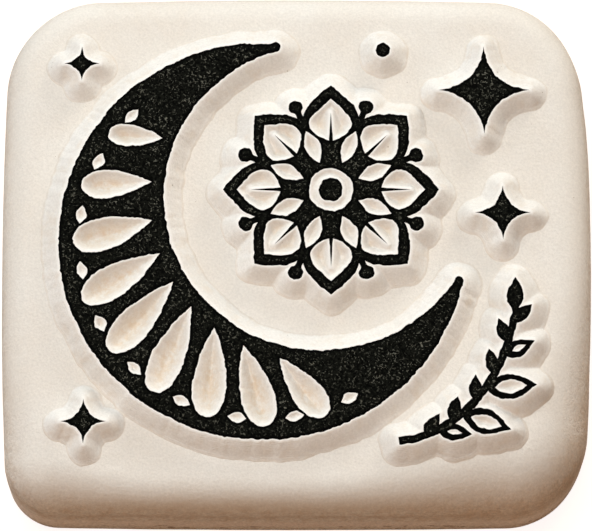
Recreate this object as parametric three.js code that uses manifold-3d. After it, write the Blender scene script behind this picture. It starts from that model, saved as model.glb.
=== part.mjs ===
// A temporary tattoo stamp: a small matte ceramic block whose face carries a raised design with black tops.
// Millimetres, +Z up. The origin is the middle of the underside, and +Y is the far side of the face.

import * as THREE from "three";
import { mergeVertices } from "three/addons/utils/BufferGeometryUtils.js";
import Module from "manifold-3d";

const wasm = await Module();
wasm.setup();

// Block
const blockWidth = 60;
const blockDepth = 54;
const faceHeight = 13.4;
const sideCrown = 0.65; // how far each side bows out at its middle
const rimReach = 3.6; // plan width of the rounded rim
const rimDrop = 4.8; // height of the rounded rim
const footChamfer = 0.4;
const farRightRadius = 9.5;
const farLeftRadius = 9.2;
const nearLeftRadius = 5;
const nearRightRadius = 8;

// Raised islands and the black on them. From here down, plan sizes are those of the design as it is drawn.
const reliefHeight = 1.4;
const inkThickness = 0.2;
const shoulderWidth = 1.75; // plan width of the slope from a black edge down to the face
const valleyFloor = 0.3; // least flat ground between the feet of two islands

// Layout
const sideStrip = 6.8; // beside the moon, for the stars and the branch
const nearStrip = 0.8; // in front of the moon, for the foot of the branch

// Moon
const moonRadius = 20.6;
const moonShift = 7.4; // from the middle of the outer circle to the middle of the bite
const moonThinning = 4.7; // how much smaller the bite is than the outer circle
const moonFacing = THREE.MathUtils.degToRad(37); // direction that the horns open towards
const hornWidth = 0.9;
const slotCount = 9;
const slotSpacing = THREE.MathUtils.degToRad(18);
const slotSwirl = THREE.MathUtils.degToRad(11);
const slotMargin = 1.45;
const slotHalfWidth = 1.7; // at most, on the long slots
const slotSlimness = 0.21; // half the width of a short slot, as a share of its length
const beadMargin = 2.1;
const beadLength = 1.9;
const beadWidth = 1.1;

// Rosette
const rosetteShift = 1.2; // from the middle of the bite towards the horns
const petalCount = 8;
const petalTipLine = 1.4;
const petalSideLine = 0.85;
const veinWidth = 0.7;
const veinReach = 0.68; // of the way along a petal's cell
const stalkWidth = 0.7;
const knobRadius = 0.75;

// Parts of the rosette, as shares of its radius
const petalHalfWidthShare = 0.271;
const petalFullest = 0.63; // how far out a petal is widest
const petalCellStartShare = 0.459;
const budCellStartShare = 0.275;
const budCellEndShare = 0.605;
const budCellHalfWidthShare = 0.073;
const stalkEndShare = 0.853;
const heartShare = 0.11;
const heartRingShare = 0.202;
const middleShare = 0.404;

// Branch
const stemWidth = 0.8;
const stemLine = [
  [0.425, -0.967],
  [0.646, -0.952],
  [0.888, -0.69],
  [0.917, -0.286],
]; // control points, as shares of the field's half width and half depth
const leafFullest = 0.45; // how far out a leaf is widest, as a share of its length
const leafSlimness = 0.25; // half its width, as a share of its length
const leafSlotMargin = 0.6;
const leafSlotEnd = 1; // from the tip of a leaf to its slot
const largeLeafLength = 5.2;
const middleLeafLength = 3.5;
const smallLeafLength = 2.7;

// Leaves of the branch: place as a share of the stem, lean from its line in degrees, length, open or not
const leaves = [
  [0.24, -34, middleLeafLength, true],
  [0.4, -58, largeLeafLength, true],
  [0.58, -50, largeLeafLength, true],
  [0.76, -42, middleLeafLength, true],
  [0.91, -34, smallLeafLength, false],
  [0.16, 36, smallLeafLength, false],
  [0.33, 40, smallLeafLength, false],
  [0.5, 40, smallLeafLength, false],
  [0.66, 40, smallLeafLength, false],
  [0.82, 38, smallLeafLength, false],
  [0.96, 6, middleLeafLength, false],
];

// Stars and dot
const starInset = 0.4; // from a star's tips to the edges of the field
const farRightStarReach = 4.6;
const rightStarReach = 2.8;
const rightStarHeight = 0.152; // as a share of the field's half depth
const farLeftStarReach = 1.8;
const nearLeftStarReach = 2.3;
const starWaist = 0.16; // how far the sides of a star draw in, as a share of its reach
const dotRadius = 0.75;
const dotPlace = 0.367; // as a share of the field's half width

const flatness = 0.02; // how far a joined surface may move when its needless corners are dropped
const closeness = 1e-4; // under which two points are one

// The field is what the black of the design may cover, measured from the middle of the face.
const field = new THREE.Vector2(moonRadius + sideStrip / 2, moonRadius + nearStrip / 2);
const islandGap = 2 * shoulderWidth + valleyFloor;

// The design is scaled as a whole, so that its outermost shoulders end where the rounded rim starts.
const cornerHalfWidth = blockWidth / 2 - sideCrown;
const cornerHalfDepth = blockDepth / 2 - sideCrown;
const designFit = Math.min(
  (cornerHalfWidth - rimReach) / (field.x + shoulderWidth),
  (cornerHalfDepth - rimReach) / (field.y + shoulderWidth),
);

// Materials
const ceramic = new THREE.MeshStandardMaterial({ color: 0xe9e1d4, roughness: 0.85, metalness: 0 });
const reliefCeramic = new THREE.MeshStandardMaterial({ color: 0xefe7da, roughness: 0.85, metalness: 0 });
const blackInk = new THREE.MeshStandardMaterial({ color: 0x1b1c19, roughness: 0.8, metalness: 0 });

const polar = (angle, length = 1) => new THREE.Vector2(Math.cos(angle) * length, Math.sin(angle) * length);
const mirrored = (count) => Array.from({ length: count }, (_, i) => i - (count - 1) / 2);

// A closed geometry as a solid for joining and cutting.
function solidOf(geometry) {
  const bare = geometry.clone();
  bare.deleteAttribute("normal");
  bare.deleteAttribute("uv");
  const merged = mergeVertices(bare, closeness);
  return new wasm.Manifold(
    new wasm.Mesh({
      numProp: 3,
      vertProperties: merged.attributes.position.array,
      triVerts: new Uint32Array(merged.index.array),
    }),
  );
}

function geometryOf(solid) {
  const mesh = solid.getMesh();
  const geometry = new THREE.BufferGeometry();
  geometry.setAttribute("position", new THREE.BufferAttribute(mesh.vertProperties, mesh.numProp));
  geometry.setIndex(new THREE.BufferAttribute(mesh.triVerts, 1));
  geometry.computeVertexNormals();
  return geometry;
}

// A plan outline, stood up as high as the relief.
function prism(outline) {
  const shape = new THREE.Shape(outline);
  return solidOf(new THREE.ExtrudeGeometry(shape, { depth: reliefHeight, bevelEnabled: false }));
}

// One solid from many, without the needless corners that joining leaves on flat faces.
const joined = (solids) => wasm.Manifold.union(solids).asOriginal().simplify(flatness);

// A solid, as its mesh is written, without the specks of hollow that rounding leaves where many slopes meet.
const speck = 0.001;
function sound(solid) {
  const parts = solidOf(geometryOf(solid)).decompose();
  return wasm.Manifold.union(parts.filter((part) => part.volume() > speck));
}

// A band along a line of points, as wide on each side as halfWidth says for t from 0 to 1.
function band(points, halfWidth) {
  const left = [];
  const right = [];
  const last = points.length - 1;
  points.forEach((point, i) => {
    const along = points[Math.min(i + 1, last)].clone().sub(points[Math.max(i - 1, 0)]).normalize();
    const side = new THREE.Vector2(-along.y, along.x).multiplyScalar(halfWidth(i / last, i));
    left.push(point.clone().add(side));
    if (side.length() > closeness) right.push(point.clone().sub(side));
  });
  return right.concat(left.reverse());
}

// Points on a straight line, close together towards the far end, where a drop is round.
const dropSteps = 7;
const dropPlace = (i) => Math.sin(((i / dropSteps) * Math.PI) / 2);
function drop(from, to, halfWidth) {
  const points = Array.from({ length: dropSteps + 1 }, (_, i) => from.clone().lerp(to, dropPlace(i)));
  const bulge = (place) => place * Math.sqrt(Math.max(0, 1 - place));
  const fullest = bulge(2 / 3);
  return band(points, (_, i) => (halfWidth * bulge(dropPlace(i))) / fullest);
}

// A leaf or petal: pointed at both ends and fullest at the given share of its length.
const leafSteps = 8;
function leaf(from, to, halfWidth, fullest = 0.5) {
  const points = Array.from({ length: leafSteps + 1 }, (_, i) => from.clone().lerp(to, i / leafSteps));
  const skew = Math.log(0.5) / Math.log(fullest);
  return band(points, (t) => halfWidth * Math.sin(Math.PI * t ** skew));
}

const largeSides = 16;
const smallSides = 8;
function disc(centre, radius, sides) {
  return Array.from({ length: sides }, (_, i) => polar((2 * Math.PI * i) / sides, radius).add(centre));
}

// The edge loops of a solid's flat top, with the solid on the left of every step.
function topLoops(solid) {
  const mesh = solid.getMesh();
  const corner = (v) => mesh.vertProperties.subarray(v * mesh.numProp, v * mesh.numProp + 3);
  const onTop = (v) => Math.abs(corner(v)[2] - reliefHeight) < closeness;
  const steps = new Set();
  for (let i = 0; i < mesh.triVerts.length; i += 3) {
    const triangle = mesh.triVerts.subarray(i, i + 3);
    if (![...triangle].every(onTop)) continue;
    for (let k = 0; k < 3; k++) steps.add(`${triangle[k]},${triangle[(k + 1) % 3]}`);
  }
  const follows = new Map();
  for (const step of steps) {
    const [from, to] = step.split(",").map(Number);
    if (!steps.has(`${to},${from}`)) follows.set(from, to);
  }
  const loops = [];
  while (follows.size) {
    const loop = [];
    let at = follows.keys().next().value;
    while (follows.has(at)) {
      loop.push(new THREE.Vector2(corner(at)[0], corner(at)[1]));
      const to = follows.get(at);
      follows.delete(at);
      at = to;
    }
    loops.push(loop);
  }
  return loops;
}

// A solid with flat faces round a few points, all corners of its own hull in the order given.
function facets(points, faces) {
  const geometry = new THREE.BufferGeometry().setFromPoints(points);
  geometry.setIndex(faces.flat());
  return solidOf(geometry.toNonIndexed());
}

const wedgeFaces = [
  [0, 2, 1],
  [0, 3, 2],
  [3, 4, 2],
  [3, 5, 4],
  [0, 4, 5],
  [0, 1, 4],
  [0, 5, 3],
  [1, 2, 4],
];
const sectorFaces = [
  [0, 1, 2],
  [0, 3, 1],
  [0, 2, 3],
  [1, 3, 2],
];

// The slope from each edge of a loop down to the face: mitred at gentle bends, fanned round sharp corners.
const gentle = Math.cos(THREE.MathUtils.degToRad(50));
const fanStep = THREE.MathUtils.degToRad(40);
const leastFoot = 0.2; // of an edge's length, below which its slope isn't mitred
function shoulders(loop) {
  const count = loop.length;
  const edges = loop.map((point, i) => loop[(i + 1) % count].clone().sub(point));
  const outward = edges.map((edge) => new THREE.Vector2(edge.y, -edge.x).normalize());
  const mitres = outward.map((after, i) => {
    const before = outward[(i + count - 1) % count];
    if (before.dot(after) < gentle) return null;
    return before.clone().add(after).multiplyScalar(shoulderWidth / (1 + before.dot(after)));
  });
  const crossed = edges.map((edge, i) => {
    const [start, end] = [mitres[i], mitres[(i + 1) % count]];
    const foot = edge.clone().sub(start ?? new THREE.Vector2()).add(end ?? new THREE.Vector2());
    return foot.dot(edge) < leastFoot * edge.dot(edge);
  });
  const mitre = mitres.map((offset, i) => (crossed[i] || crossed[(i + count - 1) % count] ? null : offset));
  const high = (p) => new THREE.Vector3(p.x, p.y, reliefHeight);
  const low = (p) => new THREE.Vector3(p.x, p.y, 0);
  const pieces = [];
  loop.forEach((from, i) => {
    const j = (i + 1) % count;
    const to = loop[j];
    const square = outward[i].clone().multiplyScalar(shoulderWidth);
    const footFrom = from.clone().add(mitre[i] ?? square);
    const footTo = to.clone().add(mitre[j] ?? square);
    pieces.push(facets([low(from), low(to), high(to), high(from), low(footTo), low(footFrom)], wedgeFaces));
    const before = outward[(i + count - 1) % count];
    const turn = Math.atan2(before.cross(outward[i]), before.dot(outward[i]));
    if (mitre[i] || turn <= 0) return;
    const steps = Math.ceil(turn / fanStep);
    for (let k = 0; k < steps; k++) {
      const a = from.clone().add(polar(before.angle() + (turn * k) / steps, shoulderWidth));
      const b = from.clone().add(polar(before.angle() + (turn * (k + 1)) / steps, shoulderWidth));
      pieces.push(facets([high(from), low(from), low(a), low(b)], sectorFaces));
    }
  });
  return pieces;
}

// A stack of rings with the same number of points, closed with a flat cap at each end.
function loft(rings) {
  const count = rings[0].length;
  const points = rings.flat();
  const faces = [];
  for (let r = 0; r + 1 < rings.length; r++) {
    for (let i = 0; i < count; i++) {
      const j = (i + 1) % count;
      const [a, b] = [r * count + i, r * count + j];
      faces.push([a, b, b + count], [a, b + count, a + count]);
    }
  }
  const top = (rings.length - 1) * count;
  for (let i = 1; i + 1 < count; i++) {
    faces.push([0, i + 1, i], [top, top + i, top + i + 1]);
  }
  const geometry = new THREE.BufferGeometry().setFromPoints(points);
  geometry.setIndex(faces.flat());
  const flat = geometry.toNonIndexed();
  flat.computeVertexNormals();
  return flat;
}

// The block's plan outline, drawn in by inset: four corner arcs between gently bowed sides.
const cornerSteps = 6;
const sideSteps = 6;
function planRing(inset, z) {
  const corners = [
    [1, 1, farRightRadius],
    [-1, 1, farLeftRadius],
    [-1, -1, nearLeftRadius],
    [1, -1, nearRightRadius],
  ];
  const outline = corners.flatMap(([sideX, sideY, radius], quarter) =>
    Array.from({ length: cornerSteps + 1 }, (_, k) => {
      const angle = ((quarter + k / cornerSteps) * Math.PI) / 2;
      const middle = new THREE.Vector2(cornerHalfWidth - radius, cornerHalfDepth - radius);
      return polar(angle, radius - inset).add(middle.multiply(new THREE.Vector2(sideX, sideY)));
    }),
  );
  const ring = outline.flatMap((point, i) => {
    const next = outline[(i + 1) % outline.length];
    const steps = (i + 1) % (cornerSteps + 1) === 0 ? sideSteps : 1;
    return Array.from({ length: steps }, (_, k) => point.clone().lerp(next, k / steps));
  });
  return ring.map(({ x, y }) => {
    const [shareX, shareY] = [x / cornerHalfWidth, y / cornerHalfDepth];
    const crownX = sideCrown * shareX * (1 - shareY ** 2);
    const crownY = sideCrown * shareY * (1 - shareX ** 2);
    return new THREE.Vector3(x + crownX, y + crownY, z);
  });
}

const rimSteps = 5;
function block() {
  const rings = [planRing(footChamfer, 0), planRing(0, footChamfer)];
  for (let k = 0; k <= rimSteps; k++) {
    const angle = ((k / rimSteps) * Math.PI) / 2;
    rings.push(planRing(rimReach * (1 - Math.cos(angle)), faceHeight - rimDrop * (1 - Math.sin(angle))));
  }
  return loft(rings);
}

// Moon: a crescent with its bite shifted towards its horns, slots fanning out and a row of beads.
const moonCentre = new THREE.Vector2(moonRadius - field.x, field.y - moonRadius);
const biteRadius = moonRadius - moonThinning;
const biteCentre = moonCentre.clone().add(polar(moonFacing, moonShift));
const moonArcSteps = 34;

// How far the bite reaches from the moon's middle, in a direction.
function biteReach(angle) {
  const turn = angle - moonFacing;
  return moonShift * Math.cos(turn) + Math.sqrt(biteRadius ** 2 - (moonShift * Math.sin(turn)) ** 2);
}

function moon() {
  const hornReach = biteRadius + hornWidth;
  const squares = moonRadius ** 2 + moonShift ** 2 - hornReach ** 2;
  const hornTurn = Math.acos(squares / (2 * moonRadius * moonShift));
  const sweep = 2 * (Math.PI - hornTurn);
  const outer = Array.from({ length: moonArcSteps + 1 }, (_, i) =>
    polar(moonFacing + hornTurn + (sweep * i) / moonArcSteps, moonRadius).add(moonCentre),
  );
  const biteTurns = [outer.at(-1), outer[0]].map((horn) => horn.clone().sub(biteCentre).angle());
  const biteSweep = biteTurns[0] - biteTurns[1];
  const inner = Array.from({ length: moonArcSteps + 1 }, (_, i) =>
    polar(biteTurns[0] - (biteSweep * i) / moonArcSteps, biteRadius).add(biteCentre),
  );
  const tips = biteTurns.map((angle) => {
    const middle = polar(angle, biteRadius + hornWidth / 2).add(biteCentre);
    return prism(disc(middle, hornWidth / 2, smallSides));
  });
  const slots = mirrored(slotCount).map((k) => {
    const angle = moonFacing + Math.PI + k * slotSpacing;
    const from = polar(angle - slotSwirl, biteReach(angle - slotSwirl) + slotMargin).add(moonCentre);
    const to = polar(angle, moonRadius - slotMargin).add(moonCentre);
    return prism(drop(from, to, Math.min(slotHalfWidth, slotSlimness * from.distanceTo(to))));
  });
  const beads = mirrored(slotCount + 1).map((k) => {
    const angle = moonFacing + Math.PI + k * slotSpacing;
    const middle = polar(angle, moonRadius - beadMargin).add(moonCentre);
    const along = polar(angle + Math.PI / 2, beadLength / 2);
    return prism(leaf(middle.clone().sub(along), middle.clone().add(along), beadWidth / 2));
  });
  return joined([prism(outer.concat(inner)), ...tips]).subtract(joined([...slots, ...beads]));
}

// Rosette: a ring of veined petals with a bud and a knobbed stalk between each two, round a ringed heart.
const rosetteCentre = biteCentre.clone().add(polar(moonFacing, rosetteShift));
const rosetteRadius = biteRadius - rosetteShift - islandGap;

function rosette() {
  const at = (turn, reach) => polar((turn * 2 * Math.PI) / petalCount, reach).add(rosetteCentre);
  const ring = (draw) => Array.from({ length: petalCount }, (_, k) => prism(draw(k)));
  const petalHalfWidth = petalHalfWidthShare * rosetteRadius;
  const widest = petalFullest * rosetteRadius;
  const cellStart = petalCellStartShare * rosetteRadius;
  const cellEnd = rosetteRadius - petalTipLine;
  const cellFullest = (widest - cellStart) / (cellEnd - cellStart);
  const veinEnd = THREE.MathUtils.lerp(cellStart, cellEnd, veinReach);
  const budStart = budCellStartShare * rosetteRadius;
  const budEnd = budCellEndShare * rosetteRadius;
  const budHalfWidth = budCellHalfWidthShare * rosetteRadius;
  const stalkEnd = stalkEndShare * rosetteRadius;
  const petals = ring((k) => leaf(at(k, 0), at(k, rosetteRadius), petalHalfWidth, petalFullest));
  const cells = ring((k) =>
    leaf(at(k, cellStart), at(k, cellEnd), petalHalfWidth - petalSideLine, cellFullest),
  );
  const veins = ring((k) => band([at(k, budStart), at(k, veinEnd)], (t) => (veinWidth / 2) * (1 - t)));
  const buds = ring((k) => leaf(at(k + 0.5, budStart), at(k + 0.5, budEnd), budHalfWidth));
  const stalks = ring((k) => band([at(k + 0.5, budEnd), at(k + 0.5, stalkEnd)], () => stalkWidth / 2));
  const knobs = ring((k) => disc(at(k + 0.5, stalkEnd), knobRadius, smallSides));
  const groove = prism(disc(rosetteCentre, heartRingShare * rosetteRadius, largeSides));
  const heart = prism(disc(rosetteCentre, heartShare * rosetteRadius, largeSides));
  const middle = prism(disc(rosetteCentre, middleShare * rosetteRadius, largeSides));
  return joined([...petals, ...stalks, ...knobs, middle])
    .subtract(joined([...cells, ...buds, groove]))
    .add(joined([...veins, heart]));
}

// Branch: a curved stem in the near right corner with leaves on both sides and one at its end.
const stemSteps = 12;
function branch() {
  const controls = stemLine.map((shares) => new THREE.Vector2(...shares).multiply(field));
  const stem = new THREE.CubicBezierCurve(...controls);
  const inks = [prism(band(stem.getPoints(stemSteps), () => stemWidth / 2))];
  const slots = [];
  for (const [along, lean, length, open] of leaves) {
    const root = stem.getPoint(along);
    const aim = stem.getTangent(along).angle() + THREE.MathUtils.degToRad(lean);
    const at = (reach) => polar(aim, reach).add(root);
    const halfWidth = leafSlimness * length;
    inks.push(prism(leaf(root, at(length), halfWidth, leafFullest)));
    const slot = leaf(at(leafSlotEnd), at(length - leafSlotEnd), halfWidth - leafSlotMargin, leafFullest);
    if (open) slots.push(prism(slot));
  }
  return joined(inks).subtract(joined(slots));
}

// Four-pointed star with hollow sides.
const starSteps = 4;
function star(centre, reach) {
  const tips = [0, 1, 2, 3].map((k) => polar((k * Math.PI) / 2, reach));
  const outline = tips.flatMap((tip, k) => {
    const side = new THREE.QuadraticBezierCurve(
      tip,
      polar(((k + 0.5) * Math.PI) / 2, reach * starWaist),
      tips[(k + 1) % 4],
    );
    return side.getPoints(starSteps).slice(0, -1);
  });
  return prism(outline.map((point) => point.clone().add(centre)));
}

// A star in a corner of the field, or at the given height beside one of its edges.
function edgeStar(sideX, sideY, reach, height = sideY * (field.y - reach - starInset)) {
  return star(new THREE.Vector2(sideX * (field.x - reach - starInset), height), reach);
}

const regions = {
  moon: moon(),
  rosette: rosette(),
  branch: branch(),
  star_far_right: edgeStar(1, 1, farRightStarReach),
  star_right: edgeStar(1, 1, rightStarReach, rightStarHeight * field.y),
  star_far_left: edgeStar(-1, 1, farLeftStarReach),
  star_near_left: edgeStar(-1, -1, nearLeftStarReach),
  dot_far: prism(disc(new THREE.Vector2(dotPlace * field.x, field.y - dotRadius), dotRadius, smallSides)),
};

const stamp = new THREE.Group();

function place(name, geometry, material, z) {
  const mesh = new THREE.Mesh(geometry, material);
  mesh.name = name;
  mesh.position.z = z;
  stamp.add(mesh);
}

place("stone_block", block(), ceramic, 0);
for (const [name, drawn] of Object.entries(regions)) {
  const region = joined([drawn]);
  const island = sound(joined([region, ...topLoops(region).flatMap(shoulders)]));
  place(`relief_${name}`, geometryOf(island).scale(designFit, designFit, 1), reliefCeramic, faceHeight);
  const films = region.decompose().sort((a, b) => b.volume() - a.volume());
  films.forEach((film, i) => {
    const flat = geometryOf(film).scale(designFit, designFit, inkThickness / reliefHeight);
    place(i ? `ink_${name}_heart` : `ink_${name}`, flat, blackInk, faceHeight + reliefHeight);
  });
}

export default stamp;
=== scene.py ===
# A temporary tattoo stamp: a matte ceramic block with raised islands and a black coat on their tops.
import math

import bpy
import numpy as np
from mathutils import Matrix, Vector
from mathutils.bvhtree import BVHTree
from mathutils.geometry import delaunay_2d_cdt
from mathutils.kdtree import KDTree


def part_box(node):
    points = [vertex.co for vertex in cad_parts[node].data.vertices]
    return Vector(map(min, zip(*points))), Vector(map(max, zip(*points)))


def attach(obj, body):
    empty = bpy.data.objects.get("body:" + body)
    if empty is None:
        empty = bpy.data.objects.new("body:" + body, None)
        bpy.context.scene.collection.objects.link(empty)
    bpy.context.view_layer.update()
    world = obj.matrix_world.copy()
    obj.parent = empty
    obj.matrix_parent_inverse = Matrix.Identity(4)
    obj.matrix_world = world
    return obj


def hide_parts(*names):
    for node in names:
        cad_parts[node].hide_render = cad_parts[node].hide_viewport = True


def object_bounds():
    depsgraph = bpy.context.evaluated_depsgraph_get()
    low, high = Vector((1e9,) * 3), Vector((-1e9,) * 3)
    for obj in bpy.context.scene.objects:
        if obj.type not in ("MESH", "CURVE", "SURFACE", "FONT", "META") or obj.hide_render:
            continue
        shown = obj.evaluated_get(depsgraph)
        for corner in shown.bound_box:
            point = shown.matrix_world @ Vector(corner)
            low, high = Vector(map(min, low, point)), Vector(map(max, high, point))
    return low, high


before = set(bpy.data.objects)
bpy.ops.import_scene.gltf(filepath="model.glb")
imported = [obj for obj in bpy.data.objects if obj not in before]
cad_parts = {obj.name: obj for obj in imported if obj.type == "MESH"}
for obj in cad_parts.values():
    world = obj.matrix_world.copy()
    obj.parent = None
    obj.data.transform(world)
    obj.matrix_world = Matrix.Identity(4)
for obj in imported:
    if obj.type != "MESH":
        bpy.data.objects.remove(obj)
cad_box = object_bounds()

MM = 0.001

# Sizes of the block, in millimetres, as in the CAD model
CAD_LOW = np.array(cad_box[0]) / MM
CAD_HIGH = np.array(cad_box[1]) / MM
BLOCK_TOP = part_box("stone_block")[1].z / MM
INK_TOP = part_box("ink_moon")[1].z / MM
COAT = 0.07  # thickness of the real coat, thinner than its solid
PLATEAU = INK_TOP - COAT
RELIEF_HEIGHT = PLATEAU - BLOCK_TOP
SHOULDER = 1.75
SIDE_CROWN = 0.65
RIM_REACH = 3.6
RIM_DROP = 4.8
RIM_FULLNESS = 2.4  # 2 is an ellipse, more is squarer
FOOT_ROUND = 0.4
CORNER_RADII = (9.5, 9.2, 5.0, 8.0)  # far right, far left, near left, near right
# Near corners: side, side, radius, how much wider and deeper the rounding is, and its reach
NEAR_CORNERS = ((1, -1, 8.0, 2.5, 3.4, 13.0), (-1, -1, 5.0, 1.2, 1.4, 8.0))
CORNER_FULLNESS = 1.95  # where the rounding is deepest
NEAR_TIGHTER = 0.35  # how much narrower the rounding of the near side is
NEAR_CROWN = 0.5  # of the near side, as a share of the other sides'
DROOP = 1.2  # how far the near right corner sinks
DROOP_SPREAD = 16.0  # how far from that corner the sinking reaches
# Soft hollows in the outline: place in x and y, spread and depth
HOLLOWS = ((28.7, 18.9, 5.5, 0.5), (28.6, -21.0, 4.0, 0.22))
WAIST_HEIGHT = 7.3  # of a faint groove round the sides
WAIST_DEPTH = 0.22
WAIST_SPREAD = 1.3
HALF_WIDTH = (CAD_HIGH[0] - CAD_LOW[0]) / 2 - SIDE_CROWN
HALF_DEPTH = (CAD_HIGH[1] - CAD_LOW[1]) / 2 - SIDE_CROWN

ISLANDS = {
    "moon": ["ink_moon"],
    "rosette": ["ink_rosette", "ink_rosette_heart"],
    "branch": ["ink_branch"],
    "star_far_right": ["ink_star_far_right"],
    "star_right": ["ink_star_right"],
    "star_far_left": ["ink_star_far_left"],
    "star_near_left": ["ink_star_near_left"],
    "dot_far": ["ink_dot_far"],
}


# Smooth random numbers over the plane

LATTICE = 64
lattices = {}


def ripple(x, y, wavelength, seed):
    """Smooth noise from -1 to 1 at each point, with bumps about one wavelength apart."""
    if seed not in lattices:
        lattices[seed] = np.random.RandomState(seed).uniform(-1, 1, (LATTICE, LATTICE))
    table = lattices[seed]
    u, v = np.asarray(x) / wavelength, np.asarray(y) / wavelength
    iu, iv = np.floor(u).astype(int), np.floor(v).astype(int)
    fu, fv = u - iu, v - iv
    su, sv = fu * fu * (3 - 2 * fu), fv * fv * (3 - 2 * fv)
    a = table[iu % LATTICE, iv % LATTICE]
    b = table[(iu + 1) % LATTICE, iv % LATTICE]
    c = table[iu % LATTICE, (iv + 1) % LATTICE]
    d = table[(iu + 1) % LATTICE, (iv + 1) % LATTICE]
    return (a * (1 - su) + b * su) * (1 - sv) + (c * (1 - su) + d * su) * sv


def ripples(x, y, *waves):
    """The sum of several ripples, each given by its height, wavelength and seed."""
    return sum(height * ripple(x, y, wavelength, seed) for height, wavelength, seed in waves)


# Meshes


def add_mesh(name, points_mm, faces, material):
    """A smooth-shaded piece from points in millimetres."""
    mesh = bpy.data.meshes.new(name)
    mesh.from_pydata((np.asarray(points_mm) * MM).tolist(), [], [list(f) for f in faces])
    mesh.validate()
    mesh.update()
    mesh.polygons.foreach_set("use_smooth", [True] * len(mesh.polygons))
    mesh.materials.append(material)
    piece = bpy.data.objects.new(name, mesh)
    bpy.context.scene.collection.objects.link(piece)
    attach(piece, "root")
    return piece


# Outlines of the black areas, read from the CAD nodes


LEVEL_SLACK = 0.02  # of points that count as level with the top
LEAST_STEP = 0.06  # between points that are kept
EDGE_STEP = 0.1  # between points of a refined edge
SHARP = math.radians(52)  # a turn above this stays a corner
CORNER_CALM = 0.8  # from a corner to where an edge wavers in full
LEAST_WAVER = 0.05  # share of the waver at a corner
NARROW = 0.22  # black lines and gaps less than twice this wide have calmer edges


def top_loops(node):
    """The closed outlines of a node's flat top in millimetres, the solid on the left of every step."""
    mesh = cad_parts[node].data
    co = np.array([v.co for v in mesh.vertices]) / MM
    keys = [tuple(row) for row in np.round(co, 3)]
    top = co[:, 2].max() - LEVEL_SLACK
    steps = set()
    for polygon in mesh.polygons:
        corners = list(polygon.vertices)
        if min(co[v][2] for v in corners) < top:
            continue
        ring = [keys[v][:2] for v in corners]
        steps.update((a, b) for a, b in zip(ring, ring[1:] + ring[:1]) if a != b)
    follows = {a: b for a, b in steps if (b, a) not in steps}
    loops = []
    for start in sorted(follows):
        if start not in follows:
            continue
        loop, at = [], start
        while at in follows:
            loop.append(at)
            at = follows.pop(at)
        loops.append(np.array(loop))
    return loops


def without_needless(loop):
    """The loop without points that nearly coincide with the one before."""
    kept = [loop[0]]
    for point in loop[1:]:
        if np.hypot(*(point - kept[-1])) > LEAST_STEP:
            kept.append(point)
    if np.hypot(*(kept[0] - kept[-1])) <= LEAST_STEP:
        kept.pop()
    return np.array(kept)


def curve_between(p0, p1, p2, p3):
    """Points on the smooth curve from p1 to p2 whose ends run on towards p0 and p3."""
    count = max(1, int(round(np.hypot(*(p2 - p1)) / EDGE_STEP)))
    t = (np.arange(count) / count)[:, None]
    chord = np.hypot(*(p2 - p1))
    before = max(np.hypot(*(p1 - p0)), 1e-6)
    after = max(np.hypot(*(p3 - p2)), 1e-6)
    m1 = ((p1 - p0) / before * chord + (p2 - p1) * before / chord) / (1 + before / chord)
    m2 = ((p3 - p2) / after * chord + (p2 - p1) * after / chord) / (1 + after / chord)
    h00, h10 = 2 * t**3 - 3 * t**2 + 1, t**3 - 2 * t**2 + t
    h01, h11 = 3 * t**2 - 2 * t**3, t**3 - t**2
    return h00 * p1 + h10 * m1 + h01 * p2 + h11 * m2


def refined(loop):
    """The loop as smooth curves between its sharp corners, and each point's share of the waver."""
    loop = without_needless(loop)
    n = len(loop)
    forward = np.roll(loop, -1, 0) - loop
    heading = np.arctan2(forward[:, 1], forward[:, 0])
    turn = (heading - np.roll(heading, 1) + math.pi) % (2 * math.pi) - math.pi
    corner = np.abs(turn) > SHARP
    points = []
    for i in range(n):
        p1, p2 = loop[i], loop[(i + 1) % n]
        p0 = 2 * p1 - p2 if corner[i] else loop[i - 1]
        p3 = 2 * p2 - p1 if corner[(i + 1) % n] else loop[(i + 2) % n]
        if corner[i] and not corner[(i + 1) % n]:
            p0 = p1 - ((p2 - p1) * 1.5 - (p3 - p1) * 0.5)
        if corner[(i + 1) % n] and not corner[i]:
            p3 = p2 + ((p2 - p1) * 1.5 - (p2 - p0) * 0.5)
        points.append(curve_between(p0, p1, p2, p3))
    smooth = np.concatenate(points)
    if not corner.any():
        return smooth, np.ones(len(smooth))
    away = np.hypot(*(smooth[:, None] - loop[corner][None]).transpose(2, 0, 1)).min(1)
    return smooth, np.clip(away / CORNER_CALM, LEAST_WAVER, 1)


def hand_cut(loops):
    """The loops as hand-cut edges that waver a little, less so at corners and narrow places."""
    smooth = [refined(loop) for loop in loops]
    outline = Outline([points for points, _ in smooth])
    cut = []
    for points, calm in smooth:
        inward = inward_of(points)
        black_room = -outline.signed(points + inward * NARROW)
        bare_room = outline.signed(points - inward * NARROW)
        room = np.minimum(black_room, bare_room)
        shift = ripples(*points.T, (0.06, 1.6, 11), (0.065, 0.55, 12), (0.05, 0.24, 13))
        cut.append(points + inward * (shift * calm * np.clip(room / NARROW, 0, 1))[:, None])
    return cut


def inward_of(loop):
    """The direction into the solid at each point of a loop."""
    along = np.roll(loop, -1, 0) - np.roll(loop, 1, 0)
    along /= np.maximum(np.hypot(along[:, 0], along[:, 1]), 1e-9)[:, None]
    return np.stack([-along[:, 1], along[:, 0]], 1)


def rows_beside(loops, outline, depths):
    """Points beside the loops, at the given depths into the solid, where no other edge is nearer."""
    rows = []
    for depth in depths:
        row = np.concatenate([loop + inward_of(loop) * depth for loop in loops])
        rows.append(row[np.abs(outline.signed(row)) > 0.85 * abs(depth)])
    return rows


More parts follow.
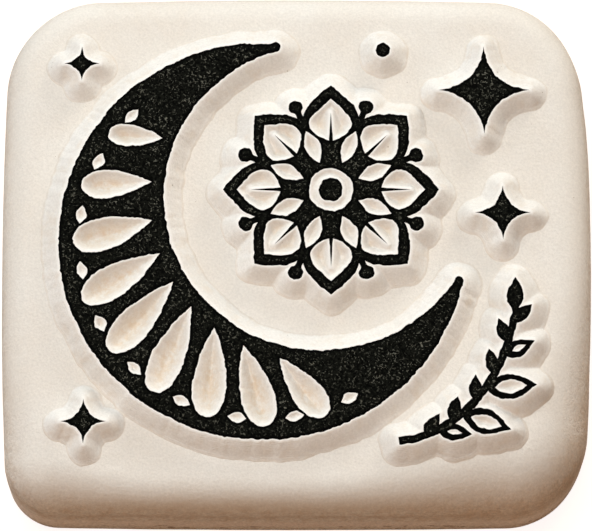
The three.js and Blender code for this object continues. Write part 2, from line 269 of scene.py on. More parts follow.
def grid_over(low, high, step):
    """The points of a square grid over a rectangle."""
    across, along = (np.arange(low[axis], high[axis] + step, step) for axis in (0, 1))
    gx, gy = np.meshgrid(across, along, indexing="ij")
    return np.stack([gx.ravel(), gy.ravel()], 1)


def triangulated(cloud, loops):
    """Triangles over a cloud of points. They keep the edges of the loops, which come first in it."""
    edges, first = [], 0
    for loop in loops:
        count = len(loop)
        edges += [(first + k, first + (k + 1) % count) for k in range(count)]
        first += count
    made = delaunay_2d_cdt([Vector(p) for p in cloud], edges, [], 0, 1e-7)
    return np.array([tuple(v) for v in made[0]]), np.array([list(t) for t in made[2]])


def rim_of(triangles):
    """The edges that only one triangle has, as pairs of points."""
    steps = set()
    for triangle in triangles.tolist():
        steps.update(zip(triangle, triangle[1:] + triangle[:1]))
    return [(a, b) for a, b in sorted(steps) if (b, a) not in steps]


def without_pinches(triangles):
    """The triangles without those at points where the rim touches itself."""
    while True:
        starts, counts = np.unique([a for a, _ in rim_of(triangles)], return_counts=True)
        pinched = starts[counts > 1]
        if not len(pinched):
            return triangles
        triangles = triangles[~np.isin(triangles, pinched).any(1)]


def with_used_points(triangles, *columns):
    """The triangles and the columns of point values, without the points that no triangle has."""
    used = np.unique(triangles)
    new = np.full(len(columns[0]), -1)
    new[used] = np.arange(len(used))
    return (new[triangles], *(column[used] for column in columns))


def rings_of(follows):
    """The closed rings in a map from each point to the next."""
    rings = []
    while follows:
        at = next(iter(follows))
        ring = []
        while at in follows:
            ring.append(at)
            at = follows.pop(at)
        rings.append(ring)
    return rings


class Outline:
    """The edges of one or more closed loops, with the solid on the left of every step."""

    def __init__(self, loops):
        self.start = np.concatenate(loops)
        self.end = np.concatenate([np.roll(loop, -1, 0) for loop in loops])
        first = np.cumsum([0] + [len(loop) for loop in loops])
        ids = np.arange(first[-1])
        self.before = np.concatenate([np.roll(ids[a:b], 1) for a, b in zip(first, first[1:])])
        self.tree = KDTree(len(ids))
        for i, (x, y) in enumerate(self.start):
            self.tree.insert((x, y, 0), i)
        self.tree.balance()

    def inside(self, points, chunk=256):
        """Whether each point is inside an odd number of loops."""
        low = np.minimum(self.start[:, 1], self.end[:, 1])
        high = np.maximum(self.start[:, 1], self.end[:, 1])
        order = np.argsort(points[:, 1])
        result = np.zeros(len(points), bool)
        for first in range(0, len(points), chunk):
            ids = order[first : first + chunk]
            x, y = points[ids, 0][:, None], points[ids, 1][:, None]
            near = (high >= y.min()) & (low <= y.max())
            a, b = self.start[near], self.end[near]
            above = (a[:, 1] > y) != (b[:, 1] > y)
            rise = np.where(a[:, 1] == b[:, 1], 1, b[:, 1] - a[:, 1])
            crossing = a[:, 0] + (y - a[:, 1]) / rise * (b[:, 0] - a[:, 0])
            result[ids] = (above & (x < crossing)).sum(1) % 2 == 1
        return result

    def signed(self, points):
        """The distance of each point from the outline, less than nothing on the solid's side."""
        near = np.array([self.tree.find((x, y, 0))[1] for x, y in points])
        distance = np.full(len(points), np.inf)
        for i in (near, self.before[near]):
            edge = self.end[i] - self.start[i]
            away = points - self.start[i]
            t = (away * edge).sum(1) / np.maximum((edge**2).sum(1), 1e-12)
            t = np.clip(t, 0, 1)
            gap = away - t[:, None] * edge
            distance = np.minimum(distance, np.hypot(gap[:, 0], gap[:, 1]))
        return np.where(self.inside(points), -distance, distance)


def is_hole(loop):
    """True for a loop that runs clockwise, round a cell in the black."""
    after = np.roll(loop, -1, 0)
    return (loop[:, 0] * after[:, 1] - after[:, 0] * loop[:, 1]).sum() < 0


# Relief: one height field for each island

GRID = 0.14  # between points on the slopes
HIDDEN_GRID = 0.7  # between points under the coat
LEDGE = 0.15  # of bare ceramic between the black and the slope
SINK = 0.14  # how far an island's rim goes into the face
FOOT_STEEPNESS = 0.4  # of a slope where it meets the face, as a share of its average
CELL_SLOPE = 1.2  # at the edge of a cell
CELL_EASE = 0.2  # how much gentler it gets with each millimetre
CELL_DEPTH = 1.42  # at most
SLOPE_WIDEST = 1.15  # most that a slope is of its usual width
LEDGE_STEP = 0.08  # from the ledge to the row of points beyond it
CLEAR = 0.17  # between the ledge and the first points of the grid
TOOL_STEP = 0.46  # between the marks of the cutting tool
ROUGH_FROM = 0.3  # from the ledge to where the slopes are rough in full
LEDGE_DROP = 0.002  # of the slopes below the plateau
HIGHLIGHT_REACH = 0.2  # how far the painted highlight reaches past the ledge
CELL_SHADE_FROM = 0.2  # depth in a cell where its painted shade begins
CELL_SHADE_OVER = 0.9  # and how much deeper it is full


def fall_below(surface, points):
    """How far the block's surface lies below the level of its face at each point."""
    down = Vector((0, 0, -1))
    hits = [surface.ray_cast(Vector((x, y, INK_TOP)), down)[0] for x, y in points]
    return np.array([RIM_DROP if hit is None else BLOCK_TOP - hit.z for hit in hits])


def droop_at(x, y):
    """How far the face has sunk towards the near right corner."""
    away = np.hypot(x - CAD_HIGH[0], y - CAD_LOW[1])
    return DROOP * np.clip(1 - away / DROOP_SPREAD, 0, 1) ** 2


def slope_profile():
    """The fall of an outer slope against the share of its width: rolled over on top, eased below."""
    shares = np.linspace(0, 2.4, 241)
    steepness = np.interp(shares, (0, 0.7, 1.05), (0.8, 1.3, FOOT_STEEPNESS))
    step = shares[1]
    fall = np.cumsum((steepness[1:] + steepness[:-1]) / 2 * step)
    return shares, np.concatenate([[0], fall])


def slope_depth(x, y, away):
    """How far the outer slope lies below the plateau, away from the ledge in millimetres."""
    width = SHOULDER * (1 + 0.1 * ripple(x, y, 3.3, 24) + 0.05 * ripple(x, y, 1.1, 25))
    return RELIEF_HEIGHT * np.interp(away / width, *slope_profile())


def relief_plan(loops, outline):
    """Triangles over an island in plan: points, their distances from the black, and triangles."""
    every = outline.start
    reach = SHOULDER * SLOPE_WIDEST * (1 + SINK / (FOOT_STEEPNESS * RELIEF_HEIGHT)) + LEDGE
    low, high = every.min(0) - reach - GRID, every.max(0) + reach + GRID
    fine = grid_over(low, high, GRID)
    fine_signed = outline.signed(fine)
    fine = fine[(fine_signed > LEDGE + CLEAR) & (fine_signed < reach + GRID)]
    coarse = grid_over(low, high, HIDDEN_GRID)
    coarse = coarse[outline.signed(coarse) < -0.4 * HIDDEN_GRID]
    rows = rows_beside(loops, outline, (-0.5 * LEDGE, -LEDGE, -LEDGE - LEDGE_STEP))
    flat, triangles = triangulated(np.concatenate([every, *rows, fine, coarse]), loops)
    signed = outline.signed(flat)
    triangles = without_pinches(triangles[signed[triangles].max(1) < reach])
    triangles, flat, signed = with_used_points(triangles, flat, signed)
    return flat, signed, triangles


def relief_depth(x, y, away, in_cell):
    """How far each point lies below the plateau, with the marks of the cutting tool."""
    cell_depth = away * (CELL_SLOPE - CELL_EASE * away) * (1 + 0.08 * ripple(x, y, 2.3, 23))
    depth = np.where(in_cell, np.minimum(cell_depth, CELL_DEPTH), slope_depth(x, y, away))
    tool = np.sin(2 * math.pi * (away / TOOL_STEP + 0.25 * ripple(x, y, 1.6, 26)))
    rough = ripples(x, y, (0.026, 1.2, 21), (0.015, 0.45, 22)) + 0.005 * tool
    return np.maximum(depth - rough * np.clip(away / ROUGH_FROM, 0, 1), 0)


def base_faces(flat, rim, below_of):
    """Faces that close a height field from below, inside its rim."""
    rings = rings_of(dict(rim))
    ring_loops = [flat[ring] for ring in rings]
    base_flat, base_triangles = triangulated(np.concatenate(ring_loops), ring_loops)
    base_ids = [below_of[v] for ring in rings for v in ring]
    within = Outline(ring_loops).inside(base_flat[base_triangles].mean(1))
    return [[base_ids[v] for v in reversed(t)] for t in base_triangles[within].tolist()]


def relief_piece(name, loops, material, surface):
    """An island: its plateau, ledge, outer slopes and cells, closed below the block's surface."""
    flat, signed, triangles = relief_plan(loops, Outline(loops))
    holes = [loop for loop in loops if is_hole(loop)]
    in_cell = Outline(holes).inside(flat) if holes else np.zeros(len(flat), bool)
    away = np.maximum(signed - LEDGE, 0)
    depth = relief_depth(flat[:, 0], flat[:, 1], away, in_cell)
    z = PLATEAU - depth - np.where(away > 0, LEDGE_DROP, 0)
    z -= fall_below(surface, flat) * np.clip(depth / RELIEF_HEIGHT, 0, 1)
    top = np.column_stack([flat, z])
    rim = dict(rim_of(triangles))
    below_of = {v: len(top) + k for k, v in enumerate(sorted(rim))}
    below = top[sorted(rim)].copy()
    below[:, 2] = BLOCK_TOP - 2 * SINK - fall_below(surface, below[:, :2])
    faces = triangles.tolist()
    faces += [[b, a, below_of[a], below_of[b]] for a, b in rim.items()]
    faces += base_faces(flat, rim, below_of)
    piece = add_mesh(f"{name}_slopes", np.concatenate([top, below]), faces, material)
    # Painted highlight: a share along the ledge
    ledge_highlight = np.clip(1 - (signed - LEDGE) / HIGHLIGHT_REACH, 0, 1)
    # Painted shade: a share that grows with depth in the cells
    cell_shade = np.where(in_cell, np.clip((depth - CELL_SHADE_FROM) / CELL_SHADE_OVER, 0, 1), 0)
    for share_name, shares in (("ledge_highlight", ledge_highlight), ("cell_shade", cell_shade)):
        add_shares(piece, share_name, np.concatenate([shares, np.zeros(len(below))]))
    return piece


def add_shares(piece, name, shares):
    """A number from 0 to 1 for each point of a piece, which its material reads."""
    attribute = piece.data.attributes.new(name, "FLOAT", "POINT")
    attribute.data.foreach_set("value", np.asarray(shares, dtype=np.float32))


# Black coat: a thin film with soft edges on each plateau

EDGE_ROUND = 0.09  # how far in the rounding of the edge reaches
EDGE_FALL = 0.045  # of the rounding
EDGE_SLOPE = 0.01  # how much lower the edge is besides
EDGE_BAND = 0.34  # how wide the smooth border of the coat is
COAT_SKIRT = 0.06  # how far the coat reaches down past the plateau
COAT_GRID = 0.4  # between points inside the border


def coat_piece(name, loops, material):
    """A black area: a film with a rounded edge and slight dips."""
    outline = Outline(loops)
    every = outline.start
    depths = (0.35 * EDGE_ROUND, EDGE_ROUND, 0.6 * EDGE_BAND, 1.2 * EDGE_BAND)
    rows = rows_beside(loops, outline, depths)
    rows = [row[outline.signed(row) < 0] for row in rows]
    grid = grid_over(every.min(0), every.max(0), COAT_GRID)
    grid = grid[outline.signed(grid) < -1.4 * EDGE_BAND]
    flat, triangles = triangulated(np.concatenate([every, *rows, grid]), loops)
    triangles = triangles[outline.inside(flat[triangles].mean(1))]
    triangles, flat = with_used_points(triangles, flat)
    x, y = flat[:, 0], flat[:, 1]
    inside = -outline.signed(flat)
    edge = np.clip(1 - inside / EDGE_ROUND, 0, 1)
    dip = 0.015 * (0.5 + 0.5 * ripple(x, y, 1.7, 33)) + 0.012 * (0.5 + 0.5 * ripple(x, y, 0.6, 34))
    z = INK_TOP - dip * (1 - edge) - EDGE_FALL * edge**2 - EDGE_SLOPE * edge
    top = np.column_stack([flat, z])
    bottom = np.column_stack([flat, np.full(len(flat), PLATEAU - COAT_SKIRT)])
    shift = len(flat)
    faces = triangles.tolist() + (triangles[:, ::-1] + shift).tolist()
    faces += [[b, a, a + shift, b + shift] for a, b in rim_of(triangles)]
    piece = add_mesh(f"{name}_coat", np.concatenate([top, bottom]), faces, material)
    border = np.clip((1.2 * EDGE_BAND - inside) / (0.6 * EDGE_BAND), 0, 1)
    add_shares(piece, "border", np.concatenate([border, np.ones(len(flat))]))
    return piece


# Block: rings round the same outline as the CAD model's


CORNER_STEPS = 26
STRAIGHT_STEPS = 72
FOOT_STEPS = 5
SIDE_STEPS = 29
RIM_STEPS = 36
FACE_STEPS = 56
FACE_WAVE = 0.05  # how deep the waves in the face are
FACE_BLEND = 0.6  # how far down from the face they fade out
DENT = 0.0022  # of the sides, as a share of their distance from the middle


def plan_ring(inset):
    """The block's outline from above, moved in by a distance."""
    signs = [(1, 1), (-1, 1), (-1, -1), (1, -1)]
    points = []
    for quarter, ((sx, sy), radius) in enumerate(zip(signs, CORNER_RADII)):
        angle = (quarter + np.arange(CORNER_STEPS + 1) / CORNER_STEPS) * math.pi / 2
        x = sx * (HALF_WIDTH - radius) + (radius - inset) * np.cos(angle)
        y = sy * (HALF_DEPTH - radius) + (radius - inset) * np.sin(angle)
        points.append(np.stack([x, y], 1))
    ring = []
    for k in range(4):
        ring.append(points[k])
        start, end = points[k][-1], points[(k + 1) % 4][0]
        t = (np.arange(1, STRAIGHT_STEPS) / STRAIGHT_STEPS)[:, None]
        ring.append(start * (1 - t) + end * t)
    ring = np.concatenate(ring)
    share_x, share_y = ring[:, 0] / HALF_WIDTH, ring[:, 1] / HALF_DEPTH
    bow_x = SIDE_CROWN * share_x * (1 - share_y**2)
    bow_y = np.where(share_y < 0, NEAR_CROWN, 1) * SIDE_CROWN * share_y * (1 - share_x**2)
    ring = ring + np.stack([bow_x, bow_y], 1)
    for place_x, place_y, spread, deep in HOLLOWS:
        away = np.hypot(ring[:, 0] - place_x, ring[:, 1] - place_y)
        pull = deep * np.exp(-((away / spread) ** 2)) / np.hypot(place_x, place_y)
        ring = ring - ring * pull[:, None]
    return ring


def rim_of_block(ring, inward):
    """How wide, how deep and how full the rounding along the face is at each point of the outline."""
    reach = RIM_REACH - NEAR_TIGHTER * np.clip(inward[:, 1], 0, 1)
    drop = np.full(len(ring), RIM_DROP)
    fullness = np.full(len(ring), RIM_FULLNESS)
    for sx, sy, radius, wider, deeper, spread in NEAR_CORNERS:
        centre = np.array([sx * (HALF_WIDTH - radius), sy * (HALF_DEPTH - radius)])
        away = np.maximum(np.hypot(*(ring - centre).T) - radius, 0)
        share = np.clip(1 - away / spread, 0, 1) ** 2
        reach += wider * share
        drop += deeper * share
        fullness += (CORNER_FULLNESS - RIM_FULLNESS) * share
    return reach, drop, fullness


def block_rings():
    """The block as closed rings of points, from its foot up the sides and over the rim to the face."""
    outer = plan_ring(0)
    inward = plan_ring(1) - outer
    reach, drop, fullness = rim_of_block(outer, inward)
    side_top = BLOCK_TOP - drop
    nothing = np.zeros(len(outer))
    levels = []  # how far each ring is from the outline, and its height
    for k in range(FOOT_STEPS + 1):
        angle = (k / FOOT_STEPS) * math.pi / 2
        inset, z = FOOT_ROUND * (1 - math.sin(angle)), FOOT_ROUND * (1 - math.cos(angle))
        levels.append((nothing + inset, nothing + z))
    for share in np.linspace(0, 1, SIDE_STEPS + 1)[1:]:
        levels.append((nothing, FOOT_ROUND + share * (side_top - FOOT_ROUND)))
    for k in range(1, RIM_STEPS + 1):
        angle = (k / RIM_STEPS) * math.pi / 2
        out, up = max(math.cos(angle), 0) ** (2 / fullness), math.sin(angle) ** (2 / fullness)
        levels.append(((1 - out) * reach, side_top + drop * up))
    rings = [np.column_stack([outer + inward * inset[:, None], z]) for inset, z in levels]
    face_edge = outer + inward * reach[:, None]
    for k in range(1, FACE_STEPS):
        share = 1 - k / FACE_STEPS
        rings.append(np.column_stack([face_edge * share, np.full(len(face_edge), BLOCK_TOP)]))
    return rings


def weathered(points):
    """The block's points with slight waves in the face, a sunk corner, dents and the groove."""
    x, y, z = points.T
    wave = 0.5 + 0.5 * (0.7 * ripple(x, y, 7.0, 41) + 0.3 * ripple(x + 3 * z, y - 2 * z, 1.8, 42))
    upness = np.clip((z - (BLOCK_TOP - FACE_BLEND)) / FACE_BLEND, 0, 1)
    points[:, 2] -= FACE_WAVE * wave * upness
    points[:, 2] -= droop_at(x, y) * np.clip((z - BLOCK_TOP) / RIM_DROP + 1, 0, 1)
    wall = (1 - upness) * np.clip((z - 0.1) / 0.3, 0, 1)
    around = np.arctan2(y, x) * 26
    dent = 0.5 + 0.5 * (0.6 * ripple(around, z * 2.2, 5.0, 43) + 0.4 * ripple(around, z * 6, 1.6, 44))
    waist = WAIST_DEPTH * np.exp(-(((z - WAIST_HEIGHT) / WAIST_SPREAD) ** 2))
    waist = waist * (0.5 + 0.5 * ripple(around, z, 9.0, 45))
    points[:, :2] *= (1 - (DENT * dent + waist / HALF_DEPTH) * wall)[:, None]
    return points


def block_piece(material):
    """The block, and its surface for finding heights."""
    rings = block_rings()
    points = weathered(np.concatenate(rings + [np.array([[0, 0, BLOCK_TOP]])]))
    count = len(rings[0])
    faces = []
    for r in range(len(rings) - 1):
        for i in range(count):
            j = (i + 1) % count
            a, b = r * count + i, r * count + j
            faces.append([a, b, b + count, a + count])
    last = (len(rings) - 1) * count
    centre = len(points) - 1
    faces += [[last + i, last + (i + 1) % count, centre] for i in range(count)]
    faces.append(list(range(count))[::-1])
    surface = BVHTree.FromPolygons(points.tolist(), faces)
    return add_mesh("fired_block", points, faces, material), surface


# Materials: colours are red, green and blue, and lengths in the patterns are millimetres

SPECK = (0.23, 0.17, 0.11)
CLOUD = (0.55, 0.42, 0.3)
PALE_SPOT = (0.88, 0.84, 0.78)
# painted warm shade at the near corners
CORNER_SHADE = (0.60, 0.44, 0.30)
# painted light low on the sides
LIGHT_BAND = (0.95, 0.88, 0.82)
# painted shade in the groove
GROOVE_SHADE = (0.42, 0.30, 0.2)
NICK = (0.3, 0.2, 0.13)
SLOPE_STAIN = (0.70, 0.60, 0.48)
# painted shade where the slopes meet the face
FOOT_SHADE = (0.60, 0.50, 0.39)
# painted shade deep in the cells
CELL_SHADE_COLOR = (0.69, 0.565, 0.42)
# painted highlight along the ledge
LEDGE_HIGHLIGHT_COLOR = (0.92, 0.91, 0.88)
BLACK = (0.012, 0.013, 0.011)
BLACK_DEEP = (0.0005, 0.0006, 0.0004)
BLACK_PALE = (0.0078, 0.0085, 0.0066)
# painted glints on the black
BLACK_GLINT = (0.13, 0.132, 0.108)
BLACK_BORDER = (0.001, 0.0011, 0.0009)
CORNER_SHADE_PLACES = (((27, -24, 8), 0.42), ((-27, -24, 8), 0.12))  # near corners, strength of the painted warm shade
LIGHT_BAND_HEIGHT = 3.3  # of the middle of the painted band of light
NICK_HEIGHT = 1.8  # of the middle of the row of nicks
CUT_STEP = 0.14  # height between the fine steps in the slopes


class Nodes:
    """A short way to write node trees."""

    def __init__(self, tree):
        self.tree = tree

    def feed(self, socket, value):
        """Links an output to the socket, or sets the socket to a plain value."""
        if isinstance(value, bpy.types.NodeSocket):
            self.tree.links.new(value, socket)
        else:
            socket.default_value = value

    def add(self, kind, settings=None, **inputs):
        """A new node. An input is given by its name, or by i and its number."""
        node = self.tree.nodes.new(kind)
        for key, value in (settings or {}).items():
            setattr(node, key, value)
        for key, value in inputs.items():
            by_number = key[0] == "i" and key[1:].isdigit()
            self.feed(node.inputs[int(key[1:]) if by_number else key], value)
        return node

    def noise(self, vector, scale, detail=2.0, roughness=0.5):
        sizes = {"Scale": scale, "Detail": detail, "Roughness": roughness}
        return self.add("ShaderNodeTexNoise", Vector=vector, **sizes).outputs["Fac"]

    def scattered(self, vector, scale):
        """The distance to the nearest of points scattered at random."""
        sizes = {"Scale": scale, "Randomness": 1.0}
        node = self.add("ShaderNodeTexVoronoi", {"feature": "F1"}, Vector=vector, **sizes)
        return node.outputs["Distance"]

    def stretched(self, vector, scale):
        return self.add("ShaderNodeMapping", Vector=vector, Scale=scale).outputs[0]

    def attribute(self, name):
        return self.add("ShaderNodeAttribute", {"attribute_name": name}).outputs["Fac"]

    def remap(self, value, low, high, to_low, to_high):
        """The value moved from the range low to high to another range, and kept inside it."""
        node = self.add("ShaderNodeMapRange", i0=value, i1=low, i2=high, i3=to_low, i4=to_high)
        return node.outputs["Result"]

    def mix(self, factor, a, b, blend="MIX"):
        node = self.tree.nodes.new("ShaderNodeMix")
        node.data_type = "RGBA"
        node.blend_type = blend
        self.feed(node.inputs[0], factor)
        for number, color in ((6, a), (7, b)):
            self.feed(node.inputs[number], (*color, 1) if isinstance(color, tuple) else color)
        return node.outputs[2]

    def math(self, operation, a, b=0.0):
        return self.add("ShaderNodeMath", {"operation": operation}, i0=a, i1=b).outputs[0]

    def times(self, a, b):
        return self.math("MULTIPLY", a, b)

    def away_from(self, value, level):
        """How far the value is above or below the level."""
        return self.math("ABSOLUTE", self.math("SUBTRACT", value, level))

    def bump(self, height, strength, distance, normal=None):
        node = self.add("ShaderNodeBump", Strength=strength, Distance=distance, Height=height)
        if normal is not None:
            self.feed(node.inputs["Normal"], normal)
        return node.outputs["Normal"]


def new_material(name, color):
    """A material, its node writer and shader, and the place on the object in millimetres."""
    material = bpy.data.materials.new(name)
    material.diffuse_color = (*color, 1)
    material.use_nodes = True
    n = Nodes(material.node_tree)
    shader = material.node_tree.nodes["Principled BSDF"]
    place = n.add("ShaderNodeTexCoord").outputs["Object"]
    mm = n.add("ShaderNodeVectorMath", {"operation": "SCALE"}, i0=place, Scale=1 / MM).outputs[0]
    return material, n, shader, mm


def finish_shader(n, shader, color, roughness, specular, normal):
    n.feed(shader.inputs["Base Color"], color)
    n.feed(shader.inputs["Roughness"], roughness)
    n.feed(shader.inputs["Normal"], normal)
    shader.inputs["Specular IOR Level"].default_value = specular


def shaded(n, color, share):
    """The color times a number."""
    shade = n.add("ShaderNodeCombineColor", i0=share, i1=share, i2=share).outputs[0]
    return n.mix(1.0, color, shade, "MULTIPLY")


def ceramic_color(n, mm, base, pale, warm):
    """Soft blotches, mottling, fine grain and a few dark specks."""
    blotch = n.noise(mm, 0.13, 3.0, 0.55)
    mottle = n.noise(mm, 1.0, 3.0, 0.6)
    grain = n.noise(mm, 4.2, 2.0, 0.7)
    color = n.mix(n.remap(blotch, 0.36, 0.64, 0, 1), warm, pale)
    color = n.mix(n.remap(mottle, 0.3, 0.7, 0.2, 0.8), color, base)
    color = shaded(n, color, n.remap(grain, 0.25, 0.75, 0.9, 1.06))
    speck_size = n.remap(n.noise(mm, 0.9, 1.0), 0.55, 0.72, 0.0, 0.09)
    speck = n.math("LESS_THAN", n.scattered(mm, 1.1), speck_size)
    return n.mix(n.times(speck, 0.55), color, SPECK), mottle, grain


def ceramic_normal(n, mm, grain):
    """Grain, gentle unevenness and small pits."""
    pit_depth = n.remap(n.scattered(mm, 2.3), 0.0, 0.13, 0.0, 1.0)
    normal = n.bump(grain, 0.6, 0.00006)
    normal = n.bump(n.noise(mm, 1.9, 3.0, 0.65), 0.45, 0.00014, normal)
    return n.bump(pit_depth, 0.35, 0.00008, normal)


def side_color(n, mm, color, clouds, on_side):
    """The color with what only the sides show: clouds, pale spots, painted warm shade at the near
    corners, a painted band of light low down, sandy grain.
    """
    color = n.mix(n.times(n.remap(clouds, 0.42, 0.62, 0, 0.55), on_side), color, CLOUD)
    spots = n.remap(n.noise(mm, 2.6, 2.0, 0.6), 0.56, 0.66, 0, 0.5)
    color = n.mix(n.times(spots, on_side), color, PALE_SPOT)
    # Painted shade: the sides near the near corners are made browner
    for place, most in CORNER_SHADE_PLACES:
        measure = n.add("ShaderNodeVectorMath", {"operation": "DISTANCE"}, i0=mm, i1=place)
        brown = n.remap(measure.outputs["Value"], 5, 20, most, 0)
        color = n.mix(n.times(brown, on_side), color, CORNER_SHADE)
    height = n.add("ShaderNodeSeparateXYZ", i0=mm).outputs[2]
    # Painted light: a paler band low on the sides
    color = n.mix(n.remap(n.away_from(height, LIGHT_BAND_HEIGHT), 0.8, 2.2, 0.6, 0), color, LIGHT_BAND)
    sand = n.noise(n.stretched(mm, (3.3, 3.3, 1.9)), 1.0, 2.0, 0.7)
    sandy = n.times(n.remap(sand, 0.3, 0.7, -0.15, 0.15), on_side)
    return shaded(n, color, n.math("ADD", sandy, 1.0))


def foot_nicks(n, mm, height, mottle):
    """One inside the small flat nicks in a row near the foot, nothing elsewhere."""
    size = n.remap(n.away_from(height, NICK_HEIGHT), 0.5, 1.1, 0.46, 0)
    size = n.times(size, n.remap(mottle, 0.46, 0.58, 0.05, 1))
    size = n.times(size, n.remap(n.noise(mm, 0.22, 1.0), 0.4, 0.52, 0, 1))
    return n.math("LESS_THAN", n.scattered(n.stretched(mm, (0.42, 0.42, 1.5)), 1.0), size)


def fired_ceramic(name, base, pale, warm):
    """The cast block: its sides are mottled, with painted shade along a faint groove half way up and
    nicks near the foot.
    """
    material, n, shader, mm = new_material(name, base)
    color, mottle, grain = ceramic_color(n, mm, base, pale, warm)
    height = n.add("ShaderNodeSeparateXYZ", i0=mm).outputs[2]
    on_side = n.remap(height, BLOCK_TOP - RIM_DROP, BLOCK_TOP - 0.15 * RIM_DROP, 1, 0)
    clouds = n.noise(n.stretched(mm, (0.9, 0.9, 0.6)), 1.0, 4.0, 0.7)
    color = side_color(n, mm, color, clouds, on_side)
    # Painted shade: darker along the groove round the sides
    wander = n.remap(n.noise(mm, 0.16, 2.0), 0.3, 0.7, -0.5, 0.5)
    above_waist = n.math("ADD", n.math("SUBTRACT", height, WAIST_HEIGHT - 0.3), wander)
    groove = n.remap(n.math("ABSOLUTE", above_waist), 0.1, 1.1, 0.3, 0)
    color = n.mix(n.times(groove, n.remap(mottle, 0.3, 0.6, 0.5, 1)), color, GROOVE_SHADE)
    nick = foot_nicks(n, mm, height, mottle)
    color = n.mix(n.times(nick, 0.75), color, NICK)
    uneven = n.times(n.math("ADD", clouds, n.times(grain, 0.5)), on_side)
    normal = n.bump(uneven, 0.7, 0.0003, ceramic_normal(n, mm, grain))
    normal = n.bump(n.math("SUBTRACT", 1.0, nick), 0.5, 0.0001, normal)
    finish_shader(n, shader, color, n.remap(mottle, 0.3, 0.7, 0.78, 0.92), 0.25, normal)
    return material


def cut_ceramic(name, base, pale, warm):
    """The relief: a painted highlight along the ledge, painted shade in the cells and where the slopes
    meet the face.
    """
    material, n, shader, mm = new_material(name, base)
    color, mottle, grain = ceramic_color(n, mm, base, pale, warm)
    stain = n.noise(mm, 0.55, 3.0, 0.65)
    color = n.mix(n.remap(stain, 0.5, 0.72, 0, 0.35), color, SLOPE_STAIN)
    height = n.add("ShaderNodeSeparateXYZ", i0=mm).outputs[2]
    # Painted shade: darker where the slopes meet the face
    foot = n.remap(height, BLOCK_TOP - 0.02, BLOCK_TOP + 0.16, 0.4, 0)
    color = n.mix(foot, color, FOOT_SHADE)
    # Painted shade deep in the cells, mottled
    cell_shade_mottle = n.remap(n.noise(mm, 1.3, 3.0, 0.7), 0.38, 0.62, 0.18, 0.8)
    color = n.mix(n.times(n.attribute("cell_shade"), cell_shade_mottle), color, CELL_SHADE_COLOR)
    # Painted highlight: the ledge along the black is paler
    color = n.mix(n.times(n.attribute("ledge_highlight"), 0.85), color, LEDGE_HIGHLIGHT_COLOR)
    waver = n.times(n.noise(mm, 1.5, 2.0), 0.12)
    phase = n.times(n.math("ADD", height, waver), 2 * math.pi / CUT_STEP)
    normal = n.bump(n.math("SINE", phase), 0.3, 0.00002, ceramic_normal(n, mm, grain))
    finish_shader(n, shader, color, n.remap(mottle, 0.3, 0.7, 0.74, 0.9), 0.25, normal)
    return material


def black_coat(name):
    """Rough black with short pale marks inside that are painted glints, and a smooth darker border along
    every edge.
    """
    material, n, shader, mm = new_material(name, BLACK)
    turned = n.add("ShaderNodeMapping", Vector=mm, Rotation=(0.5, 0.7, 0.6)).outputs[0]
    fine = n.noise(turned, 3.6, 3.0, 0.7)
    patch = n.noise(turned, 0.5, 3.0, 0.6)
    color = n.mix(n.remap(fine, 0.42, 0.6, 0, 1), BLACK_DEEP, BLACK_PALE)
    bend = n.away_from(n.noise(turned, 2.1, 1.0, 0.5), 0.5)
    piecewise = n.remap(n.noise(turned, 3.1, 1.0, 0.5), 0.52, 0.6, 0, 1)
    squiggle = n.times(n.remap(bend, 0.01, 0.045, 1, 0), piecewise)
    fleck = n.remap(n.noise(turned, 4.6, 1.0, 0.5), 0.66, 0.72, 0, 1)
    marks = n.math("MAXIMUM", squiggle, fleck)
    # Painted glints: the marks are paler in colour, and also make bumps
    color = n.mix(n.times(marks, n.remap(patch, 0.4, 0.62, 0.25, 1.0)), color, BLACK_GLINT)
    border = n.attribute("border")
    color = n.mix(border, color, BLACK_BORDER)
    inner = n.math("SUBTRACT", 1.0, n.times(border, 0.8))
    normal = n.bump(n.times(fine, inner), 0.7, 0.00009)
    normal = n.bump(n.times(marks, inner), 0.4, 0.00006, normal)
    finish_shader(n, shader, color, n.remap(fine, 0.3, 0.7, 0.5, 0.8), 0.01, normal)
    return material


BLOCK_COLORS = ((0.78, 0.75, 0.695), (0.81, 0.79, 0.74), (0.765, 0.72, 0.65))  # usual, paler, warmer
SLOPE_COLORS = ((0.815, 0.795, 0.755), (0.85, 0.835, 0.80), (0.785, 0.76, 0.71))
block_ceramic = fired_ceramic("fired_ceramic", *BLOCK_COLORS)
slope_ceramic = cut_ceramic("cut_ceramic", *SLOPE_COLORS)
coat = black_coat("black_coat")

block, block_surface = block_piece(block_ceramic)
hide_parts("stone_block")

for island, ink_nodes in ISLANDS.items():
    outlines = {node: hand_cut(top_loops(node)) for node in ink_nodes}
    slopes = relief_piece(island, sum(outlines.values(), []), slope_ceramic, block_surface)
    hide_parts(f"relief_{island}")
    for node, loops in outlines.items():
        film = coat_piece(node.replace("ink_", ""), loops, coat)
        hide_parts(node)


# Floor, light and camera

FLOOR_SIDE = 3.0  # half of it, in metres
FLOOR_GAP = 0.00005  # below the block, in metres
FLOOR_COLOR = (0.42, 0.31, 0.23, 1)  # what the object gets from the floor
FLOOR_GLOW = 0.87  # what the camera sees besides
WORLD_COLOR = (0.017, 0.012, 0.008)  # what the object gets from all round
WHITE = (1, 1, 1)
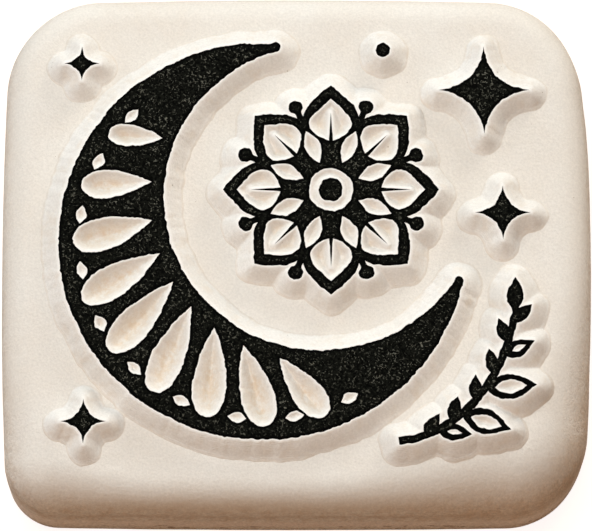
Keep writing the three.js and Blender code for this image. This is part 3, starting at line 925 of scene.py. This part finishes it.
# Name, place and aim in millimetres, width in millimetres, watts, colour
LAMPS = (
    ("key", (-120, 240, 500), (0, 0, 10), 420, 2.09, (0.91, 0.97, 1.0)),
    ("overhead", (-20, 80, 560), (0, 0, 10), 260, 0.68, (0.98, 0.98, 0.95)),
    ("left_fill", (-450, 150, 140), (0, 0, 8), 240, 0.52, (0.98, 0.99, 1.0)),
    ("right_fill", (250, 400, 140), (0, 0, 8), 200, 1.15, (1.0, 0.9, 0.78)),
    ("warm_fill", (-90, -290, 330), (0, 0, 8), 200, 0.46, (1.0, 0.63, 0.4)),
    ("warm_right", (330, -200, 220), (0, 0, 8), 200, 0.13, (1.0, 0.6, 0.36)),
)
CAMERA_TILT = math.radians(13.6)  # from straight down, towards the near side
CAMERA_DISTANCE = 488.9
CAMERA_TARGET = (-0.012, -1.84, 12.93)
CAMERA_LENS = 293.95
SENSOR_WIDTH = 36


def floor():
    """A pale floor that keeps the object's shadow and looks white."""
    mesh = bpy.data.meshes.new("floor")
    side = FLOOR_SIDE
    corners = [(-side, -side, 0), (side, -side, 0), (side, side, 0), (-side, side, 0)]
    mesh.from_pydata(corners, [], [(0, 1, 2, 3)])
    plane = bpy.data.objects.new("floor", mesh)
    bpy.context.scene.collection.objects.link(plane)
    plane.location.z = -FLOOR_GAP
    material = bpy.data.materials.new("pale_floor")
    material.use_nodes = True
    n = Nodes(material.node_tree)
    shader = material.node_tree.nodes["Principled BSDF"]
    shader.inputs["Base Color"].default_value = FLOOR_COLOR
    shader.inputs["Roughness"].default_value = 0.9
    shader.inputs["Specular IOR Level"].default_value = 0.1
    camera_ray = n.add("ShaderNodeLightPath").outputs["Is Camera Ray"]
    shader.inputs["Emission Color"].default_value = (*WHITE, 1)
    n.feed(shader.inputs["Emission Strength"], n.times(camera_ray, FLOOR_GLOW))
    mesh.materials.append(material)


def area_light(name, place, aim, width, watts, color):
    """A round soft lamp that shines from its place towards its aim."""
    data = bpy.data.lights.new(name, "AREA")
    data.shape = "DISK"
    data.size = width * MM
    data.energy = watts
    data.color = color
    lamp = bpy.data.objects.new(name, data)
    lamp.location = Vector(place) * MM
    lamp.rotation_mode = "QUATERNION"
    lamp.rotation_quaternion = (Vector(aim) - Vector(place)).to_track_quat("-Z", "Y")
    bpy.context.scene.collection.objects.link(lamp)


def backdrop():
    """A world that looks white and gives the object only a little light."""
    world = bpy.data.worlds.new("studio")
    bpy.context.scene.world = world
    world.use_nodes = True
    n = Nodes(world.node_tree)
    background = world.node_tree.nodes["Background"]
    path = n.add("ShaderNodeLightPath")
    seen = n.math("MAXIMUM", path.outputs["Is Camera Ray"], path.outputs["Is Glossy Ray"])
    seen = n.math("MAXIMUM", seen, path.outputs["Is Transmission Ray"])
    n.feed(background.inputs["Color"], n.mix(seen, WORLD_COLOR, WHITE))
    background.inputs["Strength"].default_value = 1.0


def camera():
    """The photo's view."""
    data = bpy.data.cameras.new("camera")
    data.sensor_fit = "HORIZONTAL"
    data.sensor_width = SENSOR_WIDTH
    data.lens = CAMERA_LENS
    data.clip_start = 0.02
    data.clip_end = 10
    eye = bpy.data.objects.new("camera", data)
    bpy.context.scene.collection.objects.link(eye)
    back = Vector((0, -math.sin(CAMERA_TILT), math.cos(CAMERA_TILT)))
    eye.location = Vector(CAMERA_TARGET) * MM + back * CAMERA_DISTANCE * MM
    eye.rotation_mode = "QUATERNION"
    eye.rotation_quaternion = (-back).to_track_quat("-Z", "Y")
    bpy.context.scene.camera = eye


floor()
backdrop()
for lamp_facts in LAMPS:
    area_light(*lamp_facts)
camera()

bpy.context.scene.view_settings.view_transform = "Standard"
